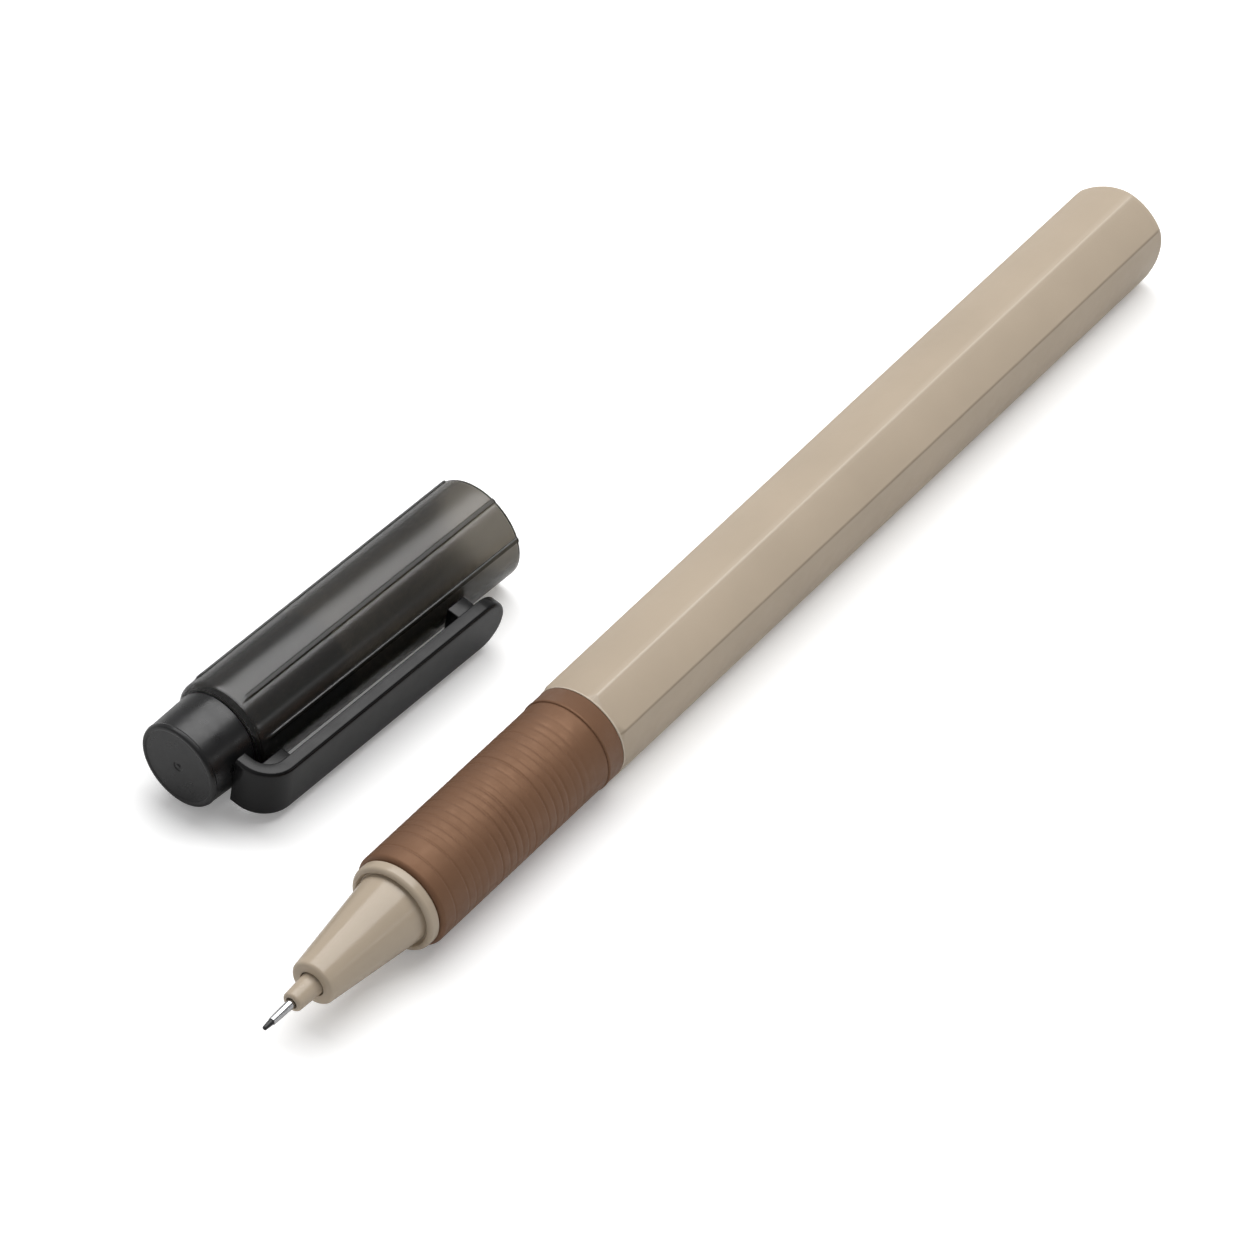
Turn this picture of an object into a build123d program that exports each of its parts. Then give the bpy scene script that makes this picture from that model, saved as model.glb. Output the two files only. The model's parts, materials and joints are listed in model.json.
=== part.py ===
from build123d import *
import math
import os

# A capped fineliner drawing pen, in millimetres. The pen lies along X with its nib towards +X.
# The origin is on the pen's axis, where the nose collar leaves the grip and the cap's mouth seats.

# Nose, from the nib back to the grip
NIB_TIP_X = 20.1
TUBE_FRONT_X = 18.95
HOLDER_FRONT_X = 16.1
CONE_FRONT_X = 13.1
CONE_REAR_X = 0.8
COLLAR_FRONT_X = 1.3
COLLAR_RADIUS = 4.74
COLLAR_LIP_ROUND = 0.45
COLLAR_GROOVE_WIDTH = 0.3
CONE_REAR_RADIUS = 3.87
CONE_FRONT_RADIUS = 2.36
CONE_FRONT_ROUND = 0.4

# Nib and the pieces that carry it
HOLDER_MOUTH_RADIUS = 1.03
HOLDER_NECK_RADIUS = 1.22
HOLDER_FLANGE_RADIUS = 1.9
HOLDER_FLANGE_X = (8.1, 12.6)
HOLDER_WINDOW_RADIUS = 1.32
HOLDER_MOUTH_ROUND = 0.3
TUBE_REAR_X = 9.6
TUBE_RADIUS = 0.48
TUBE_FRONT_RADIUS = 0.39
TUBE_BORE_RADIUS = 0.22
NIB_RADIUS = 0.33
NIB_TIP_RADIUS = 0.21
NIB_TIP_ROUND = 0.15
WICK_RADIUS = 1.0
WICK_REAR_X = -8.0
GUIDE_X = (-1.5, 2.0)
NOSE_ROOM_REAR_X = -2.0

# Grip sleeve and the section it is stretched over
GRIP_LENGTH = 27.65
GRIP_RADIUS = 5.14
GRIP_REAR_BAND_RADIUS = 5.25
GRIP_BORE_RADIUS = 4.2
GRIP_FRONT_BAND = 2.6
GRIP_REAR_BAND = 2.3
GRIP_RING_COUNT = 22
GRIP_RING_DEPTH = 0.1
GRIP_RING_CREST = (0.25, 0.75)
GRIP_BAND_LEAD = 0.2
GRIP_FRONT_ROUND = 0.5

# Barrel: six crowned faces, three broad and three narrow, between ridges on one circle
BARREL_END_X = -118.5
BARREL_CORNER_RADIUS = 5.57
BROAD_FACE_ANGLE = 72.0
BROAD_FACE_ROLL = 111.3
FACE_CROWN_RADIUS = 20.0
BARREL_RIDGE_ROUND = 0.45
BARREL_TAIL_ROUND = 1.5
BARREL_FRONT_RADIUS = 5.15
BARREL_FRONT_BEVEL = 1.2
BARREL_ENVELOPE_GAP = 0.05
SPIGOT_END_X = -36.0
SPIGOT_RADIUS = 3.9
RESERVOIR_ROOM_RADIUS = 3.4
RESERVOIR_X = (-110.0, -6.0)
RESERVOIR_RADIUS = 3.2
WRAP_RADIUS = 3.3
BARREL_POCKET_RADIUS = 2.6
BARREL_POCKET_X = -114.0

# Cap, in its own frame: mouth at the origin, closed end towards +X
CAP_LENGTH = 43.0
CAP_TUBE_LENGTH = 37.3
CAP_MOUTH_RADIUS = 5.5
CAP_SHOULDER_RADIUS = 5.42
CAP_SHOULDER_ROUND = 0.9
CAP_MOUTH_ROUND = 0.2
CAP_BORE_RADIUS = 4.85
CAP_BORE_LENGTH = 23.0
CAP_INNER_BORE_RADIUS = 4.65
CAP_END_WALL = 1.0
CAP_RIB_LENGTH = 35.6
CAP_RIB_WIDTH = 0.5
CAP_RIB_HEIGHT = 0.16
CAP_RIB_ROOT = 0.3
CAP_RIB_START = 18.0
KNOB_DISC_RADIUS = 4.55
KNOB_ROOT_RADIUS = 4.78
KNOB_EDGE_ROUND = 0.4
PLUG_SPIGOT_RADIUS = 3.5
PLUG_SPIGOT_X = 31.0
PLUG_CORE_RADIUS = 2.7
PLUG_CORE_END_X = 41.6
INNER_SLEEVE_X = 23.3
INNER_SLEEVE_RADIUS = 4.3

# Clip: a strip bent once, standing off the cap on the side CLIP_TURN points to
CLIP_TURN = -9.3
CLIP_WIDTH = 6.0
CLIP_THICKNESS = 1.45
CLIP_ARM_X = 40.5
CLIP_ARM_INNER_RADIUS = 3.05
CLIP_TIP_X = 6.3
CLIP_ROOT_RADIUS = 9.15
CLIP_TIP_RADIUS = 9.0
CLIP_BEND_RADIUS = 3.5
CLIP_TIP_ROUND = 2.9
CLIP_EDGE_ROUND = 0.3
CLIP_ROOT_CLEARANCE = 0.12
PAD_X = 10.1
PAD_LENGTH = 2.5
PAD_WIDTH = 4.0
PAD_CLEARANCE = 0.14
GUSSET_WIDTH = 3.0
GUSSET_END_X = 35.0
GUSSET_INNER_RADIUS = 5.8

# Where the cap lies beside the pen
CAP_REST_X = -44.4
CAP_REST_Y = -25.0
CAP_REST_YAW = -3.42


def turned(points):
    """Solid of revolution about X from (x, radius) points."""
    profile = make_face(Polyline(*points, close=True))
    return revolve(profile, Axis.X)


def tube(start_x, end_x, outer_radius, inner_radius):
    corners = [(start_x, inner_radius), (end_x, inner_radius), (end_x, outer_radius), (start_x, outer_radius)]
    return turned(corners)


def rod(start_x, end_x, radius):
    return tube(start_x, end_x, radius, 0)


def circles_at(solid, x, radius):
    """Round edges of a turned solid in the plane at x with the given radius."""
    def matches(edge):
        on_plane = abs(edge.center(CenterOf.BOUNDING_BOX).X - x) < 0.02
        return on_plane and edge.geom_type == GeomType.CIRCLE and abs(edge.radius - radius) < 0.02
    return solid.edges().filter_by(matches)


def polar(radius, angle):
    turn = math.radians(angle)
    return (radius * math.cos(turn), radius * math.sin(turn))


# ---- barrel ----

def barrel_corner_angles():
    """Ridge angles from +Y towards +Z, broad and narrow faces taking turns."""
    angles = []
    for third in range(3):
        broad_middle = BROAD_FACE_ROLL + 120 * third
        angles.append(broad_middle - BROAD_FACE_ANGLE / 2)
        angles.append(broad_middle + BROAD_FACE_ANGLE / 2)
    return angles


def barrel_section():
    corners = [polar(BARREL_CORNER_RADIUS, angle) for angle in barrel_corner_angles()]
    sides = []
    for start, end in zip(corners, corners[1:] + corners[:1]):
        middle = Vector(*start) + (Vector(*end) - Vector(*start)) / 2
        half_chord = (Vector(*end) - Vector(*start)).length / 2
        crown = FACE_CROWN_RADIUS - math.sqrt(FACE_CROWN_RADIUS**2 - half_chord**2)
        top = middle + middle.normalized() * crown
        sides.append(ThreePointArc(start, (top.X, top.Y), end))
    outline = make_face(sides)
    return fillet(outline.vertices(), BARREL_RIDGE_ROUND)


def barrel_envelope():
    """Turned shape that rounds the tail and bevels the ridges at the front."""
    outer = BARREL_CORNER_RADIUS + BARREL_ENVELOPE_GAP
    front = -GRIP_LENGTH
    points = [
        (BARREL_END_X, 0),
        (BARREL_END_X, outer),
        (front - BARREL_FRONT_BEVEL, outer),
        (front, BARREL_FRONT_RADIUS),
        (front, 0),
    ]
    solid = turned(points)
    return fillet(circles_at(solid, BARREL_END_X, outer), BARREL_TAIL_ROUND)


def barrel_shell():
    length = -GRIP_LENGTH - BARREL_END_X
    prism = extrude(Plane.YZ.offset(BARREL_END_X) * barrel_section(), length)
    body = prism & barrel_envelope()
    body -= rod(SPIGOT_END_X, 0, SPIGOT_RADIUS)
    body -= rod(RESERVOIR_X[0], 0, RESERVOIR_ROOM_RADIUS)
    body -= rod(BARREL_POCKET_X, 0, BARREL_POCKET_RADIUS)
    return body


# ---- grip and nose ----

def grip_sleeve():
    """Rubber tube with a plain band at each end and fine ring grooves between them."""
    ring_start = -GRIP_LENGTH + GRIP_REAR_BAND
    ring_pitch = (GRIP_LENGTH - GRIP_REAR_BAND - GRIP_FRONT_BAND) / GRIP_RING_COUNT
    outline = [(-GRIP_LENGTH, GRIP_BORE_RADIUS), (-GRIP_LENGTH, GRIP_REAR_BAND_RADIUS)]
    outline.append((ring_start, GRIP_REAR_BAND_RADIUS))
    outline.append((ring_start, GRIP_RADIUS - GRIP_RING_DEPTH))
    crest_start, crest_end = GRIP_RING_CREST
    for ring in range(GRIP_RING_COUNT):
        groove_x = ring_start + ring * ring_pitch
        outline.append((groove_x + crest_start * ring_pitch, GRIP_RADIUS))
        outline.append((groove_x + crest_end * ring_pitch, GRIP_RADIUS))
        outline.append((groove_x + ring_pitch, GRIP_RADIUS - GRIP_RING_DEPTH))
    outline.append((GRIP_BAND_LEAD - GRIP_FRONT_BAND, GRIP_RADIUS))
    outline.append((-GRIP_FRONT_ROUND, GRIP_RADIUS))
    outline.append((0, GRIP_RADIUS - GRIP_FRONT_ROUND))
    outline.append((0, GRIP_BORE_RADIUS))
    return turned(outline)


def nose_section():
    """One moulding: cone, cap collar, the seat under the grip and the spigot in the barrel."""
    outline = [
        (CONE_FRONT_X, 0),
        (CONE_FRONT_X, CONE_FRONT_RADIUS),
        (CONE_REAR_X, CONE_REAR_RADIUS),
        (COLLAR_FRONT_X, CONE_REAR_RADIUS + COLLAR_GROOVE_WIDTH),
        (COLLAR_FRONT_X, COLLAR_RADIUS),
        (0, COLLAR_RADIUS),
        (0, GRIP_BORE_RADIUS),
        (-GRIP_LENGTH, GRIP_BORE_RADIUS),
        (-GRIP_LENGTH, SPIGOT_RADIUS),
        (SPIGOT_END_X, SPIGOT_RADIUS),
        (SPIGOT_END_X, 0),
    ]
    body = turned(outline)
    body = fillet(circles_at(body, CONE_FRONT_X, CONE_FRONT_RADIUS), CONE_FRONT_ROUND)
    body = fillet(circles_at(body, COLLAR_FRONT_X, COLLAR_RADIUS), COLLAR_LIP_ROUND)
    body -= rod(NOSE_ROOM_REAR_X, HOLDER_FLANGE_X[1], HOLDER_FLANGE_RADIUS)
    body -= rod(SPIGOT_END_X, NOSE_ROOM_REAR_X, RESERVOIR_ROOM_RADIUS)
    body -= rod(HOLDER_FLANGE_X[1], CONE_FRONT_X, HOLDER_WINDOW_RADIUS)
    return body


def nib_holder():
    flange_rear, flange_front = HOLDER_FLANGE_X
    outline = [
        (flange_rear, 0),
        (flange_rear, HOLDER_FLANGE_RADIUS),
        (flange_front, HOLDER_FLANGE_RADIUS),
        (flange_front, HOLDER_NECK_RADIUS),
        (HOLDER_FRONT_X, HOLDER_MOUTH_RADIUS),
        (HOLDER_FRONT_X, 0),
    ]
    body = turned(outline)
    body = fillet(circles_at(body, HOLDER_FRONT_X, HOLDER_MOUTH_RADIUS), HOLDER_MOUTH_ROUND)
    body -= rod(TUBE_REAR_X, HOLDER_FRONT_X, TUBE_RADIUS)
    body -= rod(flange_rear, TUBE_REAR_X, TUBE_BORE_RADIUS)
    return body


def nib_tube():
    outline = [
        (TUBE_REAR_X, TUBE_BORE_RADIUS),
        (TUBE_REAR_X, TUBE_RADIUS),
        (HOLDER_FRONT_X, TUBE_RADIUS),
        (TUBE_FRONT_X, TUBE_FRONT_RADIUS),
        (TUBE_FRONT_X, TUBE_BORE_RADIUS),
    ]
    return turned(outline)


def nib_core():
    """Black nib: a fine rod through the tube with a slightly wider rounded point."""
    outline = [
        (HOLDER_FLANGE_X[0], 0),
        (HOLDER_FLANGE_X[0], TUBE_BORE_RADIUS),
        (TUBE_FRONT_X, TUBE_BORE_RADIUS),
        (TUBE_FRONT_X, NIB_RADIUS),
        (NIB_TIP_X, NIB_TIP_RADIUS),
        (NIB_TIP_X, 0),
    ]
    body = turned(outline)
    return fillet(circles_at(body, NIB_TIP_X, NIB_TIP_RADIUS), NIB_TIP_ROUND)


# ---- ink feed ----

def feed_wick():
    return rod(WICK_REAR_X, HOLDER_FLANGE_X[0], WICK_RADIUS)


def wick_guide():
    return tube(GUIDE_X[0], GUIDE_X[1], HOLDER_FLANGE_RADIUS, WICK_RADIUS)


def ink_reservoir():
    """Fibre cylinder with a blind pocket that takes the rear of the wick."""
    body = rod(RESERVOIR_X[0], RESERVOIR_X[1], RESERVOIR_RADIUS)
    return body - rod(WICK_REAR_X, RESERVOIR_X[1], WICK_RADIUS)


def reservoir_wrap():
    return tube(RESERVOIR_X[0], RESERVOIR_X[1], WRAP_RADIUS, RESERVOIR_RADIUS)


# ---- cap, built with its mouth at the origin ----

def cap_rib(angle):
    """Low lengthwise rib with a rounded start, standing on the tube's outside."""
    height = CAP_RIB_ROOT + CAP_RIB_HEIGHT
    middle = CAP_SHOULDER_RADIUS - CAP_RIB_ROOT + height / 2
    straight = CAP_RIB_LENGTH - CAP_RIB_WIDTH / 2
    bar = Pos(straight / 2, middle, 0) * Box(straight, height, CAP_RIB_WIDTH)
    bar += Pos(straight, middle, 0) * Rot(90, 0, 0) * Cylinder(CAP_RIB_WIDTH / 2, height)
    return Rot(angle, 0, 0) * bar


def cap_tube():
    """Clear tube with a rounded shoulder and six ribs in line with the barrel's ridges."""
    outline = [
        (0, 0),
        (0, CAP_MOUTH_RADIUS),
        (CAP_TUBE_LENGTH, CAP_SHOULDER_RADIUS),
        (CAP_TUBE_LENGTH, 0),
    ]
    body = turned(outline)
    body = fillet(circles_at(body, CAP_TUBE_LENGTH, CAP_SHOULDER_RADIUS), CAP_SHOULDER_ROUND)
    body = fillet(circles_at(body, 0, CAP_MOUTH_RADIUS), CAP_MOUTH_ROUND)
    narrow_face = 120 - BROAD_FACE_ANGLE
    for third in range(3):
        for step in (0, narrow_face):
            body += cap_rib(CAP_RIB_START + step + 120 * third)
    body -= rod(0, CAP_BORE_LENGTH, CAP_BORE_RADIUS)
    body -= rod(0, CAP_TUBE_LENGTH - CAP_END_WALL, CAP_INNER_BORE_RADIUS)
    return body - rod(0, CAP_TUBE_LENGTH, PLUG_SPIGOT_RADIUS)


def cap_plug():
    """Dark end knob with a hollow spigot that holds the tube and the inner sleeve."""
    outline = [
        (PLUG_SPIGOT_X, 0),
        (PLUG_SPIGOT_X, PLUG_SPIGOT_RADIUS),
        (CAP_TUBE_LENGTH, PLUG_SPIGOT_RADIUS),
        (CAP_TUBE_LENGTH, KNOB_ROOT_RADIUS),
        (CAP_LENGTH, KNOB_DISC_RADIUS),
        (CAP_LENGTH, 0),
    ]
    body = turned(outline)
    body = fillet(circles_at(body, CAP_LENGTH, KNOB_DISC_RADIUS), KNOB_EDGE_ROUND)
    return body - rod(PLUG_SPIGOT_X, PLUG_CORE_END_X, PLUG_CORE_RADIUS)


def cap_inner_sleeve():
    return tube(INNER_SLEEVE_X, CAP_TUBE_LENGTH - CAP_END_WALL, INNER_SLEEVE_RADIUS, PLUG_SPIGOT_RADIUS)


def clip_strip():
    """Side outline of the bent strip, swept across its width."""
    bend_x = CLIP_ARM_X - CLIP_BEND_RADIUS
    bend_y = CLIP_ROOT_RADIUS - CLIP_BEND_RADIUS
    inner_bend = CLIP_BEND_RADIUS - CLIP_THICKNESS
    outline = [
        Line((CLIP_ARM_X, CLIP_ARM_INNER_RADIUS), (CLIP_ARM_X, bend_y)),
        RadiusArc((CLIP_ARM_X, bend_y), (bend_x, CLIP_ROOT_RADIUS), -CLIP_BEND_RADIUS),
        Line((bend_x, CLIP_ROOT_RADIUS), (CLIP_TIP_X, CLIP_TIP_RADIUS)),
        Line((CLIP_TIP_X, CLIP_TIP_RADIUS), (CLIP_TIP_X, CLIP_TIP_RADIUS - CLIP_THICKNESS)),
        Line((CLIP_TIP_X, CLIP_TIP_RADIUS - CLIP_THICKNESS), (bend_x, CLIP_ROOT_RADIUS - CLIP_THICKNESS)),
        RadiusArc((bend_x, CLIP_ROOT_RADIUS - CLIP_THICKNESS), (bend_x + inner_bend, bend_y), inner_bend),
        Line((bend_x + inner_bend, bend_y), (bend_x + inner_bend, CLIP_ARM_INNER_RADIUS)),
        Line((bend_x + inner_bend, CLIP_ARM_INNER_RADIUS), (CLIP_ARM_X, CLIP_ARM_INNER_RADIUS)),
    ]
    return extrude(make_face(outline), CLIP_WIDTH / 2, both=True)


def knob_clearance():
    """Tapered room for the knob, so that the clip's root follows it at an even gap."""
    outline = [
        (CAP_TUBE_LENGTH, 0),
        (CAP_TUBE_LENGTH, KNOB_ROOT_RADIUS + CLIP_ROOT_CLEARANCE),
        (CAP_LENGTH, KNOB_DISC_RADIUS + CLIP_ROOT_CLEARANCE),
        (CAP_LENGTH, 0),
    ]
    return turned(outline)


def cap_clip():
    strip = clip_strip()
    tip_edges = strip.edges().filter_by(Axis.Y).filter_by(lambda edge: edge.center().X < CLIP_TIP_X + 1)
    strip = fillet(tip_edges, CLIP_TIP_ROUND)
    outer_edges = strip.edges().filter_by(lambda edge: edge.center().Y > CLIP_TIP_RADIUS - 0.2)
    strip = fillet(outer_edges, CLIP_EDGE_ROUND)
    pad_inner = CAP_MOUTH_RADIUS + PAD_CLEARANCE
    pad_height = CLIP_TIP_RADIUS - CLIP_THICKNESS / 2 - pad_inner
    strip += Pos(PAD_X, pad_inner + pad_height / 2, 0) * Box(PAD_LENGTH, pad_height, PAD_WIDTH)
    gusset_length = CLIP_ARM_X - CLIP_THICKNESS / 2 - GUSSET_END_X
    gusset_height = CLIP_ROOT_RADIUS - CLIP_THICKNESS / 2 - GUSSET_INNER_RADIUS
    gusset = Box(gusset_length, gusset_height, GUSSET_WIDTH)
    strip += Pos(GUSSET_END_X + gusset_length / 2, GUSSET_INNER_RADIUS + gusset_height / 2, 0) * gusset
    strip -= knob_clearance()
    return Rot(CLIP_TURN, 0, 0) * strip


# ---- whole pen ----

def cap_rest_height():
    """Height of the cap's axis when tube and pen lie on one flat surface."""
    pen_low = min(barrel_shell().bounding_box().min.Z, -GRIP_REAR_BAND_RADIUS)
    return pen_low - cap_tube().bounding_box().min.Z


pen_parts = {
    "barrel_shell": barrel_shell,
    "grip_sleeve": grip_sleeve,
    "nose_section": nose_section,
    "nib_holder": nib_holder,
    "nib_tube": nib_tube,
    "nib_core": nib_core,
    "feed_wick": feed_wick,
    "wick_guide": wick_guide,
    "ink_reservoir": ink_reservoir,
    "reservoir_wrap": reservoir_wrap,
}

cap_parts = {
    "cap_tube": cap_tube,
    "cap_plug": cap_plug,
    "cap_inner_sleeve": cap_inner_sleeve,
    "cap_clip": cap_clip,
}

os.makedirs("parts", exist_ok=True)
for node, make in pen_parts.items():
    export_step(make(), f"parts/{node}.step")

cap_rest = Pos(CAP_REST_X, CAP_REST_Y, cap_rest_height()) * Rot(0, 0, CAP_REST_YAW)
for node, make in cap_parts.items():
    export_step(cap_rest * make(), f"parts/{node}.step")
print("cap axis height", round(cap_rest_height(), 3))
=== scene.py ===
import bmesh
import bpy
import json
import math
import random
from mathutils import Matrix, Vector


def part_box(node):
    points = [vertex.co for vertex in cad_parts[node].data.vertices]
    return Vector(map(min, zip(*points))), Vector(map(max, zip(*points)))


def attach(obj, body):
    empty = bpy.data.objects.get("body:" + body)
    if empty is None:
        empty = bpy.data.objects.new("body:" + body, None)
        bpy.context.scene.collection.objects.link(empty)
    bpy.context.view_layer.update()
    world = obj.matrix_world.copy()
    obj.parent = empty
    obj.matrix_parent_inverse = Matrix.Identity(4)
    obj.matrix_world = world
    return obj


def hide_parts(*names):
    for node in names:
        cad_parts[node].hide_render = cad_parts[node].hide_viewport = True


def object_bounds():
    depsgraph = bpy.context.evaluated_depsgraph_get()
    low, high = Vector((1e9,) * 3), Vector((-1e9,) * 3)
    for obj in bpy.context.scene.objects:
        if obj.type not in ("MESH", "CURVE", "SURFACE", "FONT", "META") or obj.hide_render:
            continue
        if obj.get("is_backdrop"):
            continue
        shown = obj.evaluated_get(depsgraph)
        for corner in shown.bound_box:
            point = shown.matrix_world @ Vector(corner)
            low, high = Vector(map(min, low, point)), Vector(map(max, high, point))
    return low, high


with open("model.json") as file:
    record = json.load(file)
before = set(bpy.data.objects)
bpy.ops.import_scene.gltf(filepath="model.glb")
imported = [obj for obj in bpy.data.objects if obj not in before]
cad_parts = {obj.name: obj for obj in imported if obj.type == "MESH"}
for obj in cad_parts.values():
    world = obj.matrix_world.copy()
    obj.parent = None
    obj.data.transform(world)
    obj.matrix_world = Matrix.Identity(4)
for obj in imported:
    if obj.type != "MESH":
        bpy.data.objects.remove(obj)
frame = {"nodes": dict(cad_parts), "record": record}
CAD_LOW, CAD_HIGH = (list(corner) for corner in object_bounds())

# Lengths in this script are in millimetres and are scaled by MM when a mesh is made. The lights, the
# camera and the floor are in metres.
MM = 0.001
MERGE_DISTANCE = 1e-7
SLIVER_LENGTH = 1e-8
ON_AXIS = 1e-6
BLOCK_SHARP_ANGLE = 35
MOUNTS = {mount["name"]: mount for mount in frame["record"]["mounts"]}

# ---- lathe and mesh helpers ----


def gap_between(first, second):
    """Smallest angle in degrees between two directions given in degrees."""
    return abs((first - second + 180) % 360 - 180)


def arc_between(start, corner, end, radius, steps):
    """Points of the fillet that rounds a corner of an outline."""
    back = (Vector(start) - Vector(corner)).normalized()
    ahead = (Vector(end) - Vector(corner)).normalized()
    half = back.angle(ahead) / 2
    reach = radius / math.tan(half)
    centre = Vector(corner) + (back + ahead).normalized() * (radius / math.sin(half))
    first = Vector(corner) + back * reach - centre
    last = Vector(corner) + ahead * reach - centre
    turn = first.angle_signed(last)
    points = []
    for step in range(steps + 1):
        angle = -turn * step / steps
        spoke = Vector((
            first.x * math.cos(angle) - first.y * math.sin(angle),
            first.x * math.sin(angle) + first.y * math.cos(angle),
        ))
        points.append(centre + spoke)
    return points


def rounded(corners, steps=6):
    """Outline through (x, radius, fillet) corners, each rounded by its own fillet."""
    points = []
    for index, (x, y, fillet) in enumerate(corners):
        if fillet <= 0 or index in (0, len(corners) - 1):
            points.append(Vector((x, y)))
            continue
        before = corners[index - 1][:2]
        after = corners[index + 1][:2]
        points += arc_between(before, (x, y), after, fillet, steps)
    return points


def densified(points, longest):
    """The same outline with no span longer than the given length."""
    dense = [points[0]]
    for start, end in zip(points, points[1:]):
        count = max(1, math.ceil((end - start).length / longest))
        dense += [start.lerp(end, step / count) for step in range(1, count + 1)]
    return dense


def finish_mesh(name, vertices, faces, sharp=35):
    """Mesh object from millimetre vertices, smooth except where faces meet at a sharp angle."""
    mesh = bpy.data.meshes.new(name)
    mesh.from_pydata([Vector(v) * MM for v in vertices], [], faces)
    mesh.validate()
    mesh.shade_smooth()
    mesh.set_sharp_from_angle(angle=math.radians(sharp))
    piece = bpy.data.objects.new(name, mesh)
    bpy.context.scene.collection.objects.link(piece)
    return piece


def skin(rings, closed_loop=False):
    """Faces that join equal rings of vertices one after another."""
    count = len(rings[0])
    faces = []
    pairs = list(zip(rings, rings[1:]))
    if closed_loop:
        pairs.append((rings[-1], rings[0]))
    for low, high in pairs:
        for index in range(count):
            after = (index + 1) % count
            faces.append((low[index], low[after], high[after], high[index]))
    return faces


def lathe(name, outline, segments=96, warp=None, sharp=35):
    """Closed body turned about X; the outline runs round it once and may touch the axis."""
    vertices, rings = [], []
    for point in outline:
        ring = []
        for index in range(segments):
            angle = 2 * math.pi * index / segments
            x, radius = point.x, point.y
            if warp and radius > 0:
                x, radius = warp(x, radius, angle)
            ring.append(len(vertices))
            vertices.append((x, radius * math.cos(angle), radius * math.sin(angle)))
        rings.append(ring)
    closed = outline[0].y > ON_AXIS
    piece = finish_mesh(name, vertices, skin(rings, closed), sharp)
    weld(piece)
    return piece


def weld(piece):
    """Merge points that coincide, drop slivers and turn every face outwards."""
    bm = bmesh.new()
    bm.from_mesh(piece.data)
    bmesh.ops.remove_doubles(bm, verts=bm.verts, dist=MERGE_DISTANCE)
    bmesh.ops.dissolve_degenerate(bm, edges=bm.edges, dist=SLIVER_LENGTH)
    bmesh.ops.recalc_face_normals(bm, faces=bm.faces)
    bm.to_mesh(piece.data)
    bm.free()


# ---- material helpers ----


def new_material(name):
    """A material with its node tree and its Principled shader."""
    material = bpy.data.materials.new(name)
    material.use_nodes = True
    return material, material.node_tree, material.node_tree.nodes["Principled BSDF"]


def node(tree, kind, **inputs):
    """A new node with some inputs set; an underscore stands for a space in an input's name."""
    made = tree.nodes.new(kind)
    for key, value in inputs.items():
        made.inputs[key.replace("_", " ")].default_value = value
    return made


def linear(red, green, blue):
    """Linear colour of an sRGB colour given in 0 to 255."""
    def channel(value):
        value = value / 255
        return value / 12.92 if value <= 0.04045 else ((value + 0.055) / 1.055) ** 2.4
    return (channel(red), channel(green), channel(blue), 1.0)


def noise(tree, scale, detail, stretch=(1, 1, 1)):
    """Noise in object coordinates, with so many cycles to the metre."""
    coordinates = tree.nodes.new("ShaderNodeTexCoord")
    mapping = tree.nodes.new("ShaderNodeMapping")
    mapping.inputs["Scale"].default_value = stretch
    tree.links.new(coordinates.outputs["Object"], mapping.inputs["Vector"])
    texture = node(tree, "ShaderNodeTexNoise", Scale=scale, Detail=detail)
    tree.links.new(mapping.outputs["Vector"], texture.inputs["Vector"])
    return texture.outputs["Fac"]


def ramp(tree, source, low, high, start=0.3, end=0.7):
    """Values or colours from low to high as the source goes from start to end."""
    made = tree.nodes.new("ShaderNodeValToRGB")
    stops = made.color_ramp.elements
    stops[0].position, stops[1].position = start, end
    stops[0].color = low if len(low) == 4 else (*low, 1)
    stops[1].color = high if len(high) == 4 else (*high, 1)
    tree.links.new(source, made.inputs["Fac"])
    return made.outputs["Color"]


def read_attribute(tree, name):
    """The value that a mesh attribute stores at each point."""
    attribute = tree.nodes.new("ShaderNodeAttribute")
    attribute.attribute_name = name
    return attribute.outputs["Fac"]


def blend_into(tree, shader, socket, factor, colour):
    """Move a linked colour input of a shader towards another colour as the factor goes to 1."""
    blend = tree.nodes.new("ShaderNodeMix")
    blend.data_type = "RGBA"
    first, second = [entry for entry in blend.inputs if entry.type == "RGBA"]
    result = [entry for entry in blend.outputs if entry.type == "RGBA"][0]
    tree.links.new(factor, blend.inputs["Factor"])
    tree.links.new(shader.inputs[socket].links[0].from_socket, first)
    second.default_value = colour
    tree.links.new(result, shader.inputs[socket])


def bump(tree, shader, source, distance):
    """Raise the surface by the source, up to the distance in metres."""
    made = node(tree, "ShaderNodeBump", Strength=1.0, Distance=distance)
    tree.links.new(source, made.inputs["Height"])
    tree.links.new(made.outputs["Normal"], shader.inputs["Normal"])


DRIFT_SCALE, GLOSS_SCALE, GRAIN_SCALE = 60, 700, 5200
LEAST_GLOSS, MOST_GLOSS = 1.18, 0.85
PLASTIC_IOR = 1.5


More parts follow.
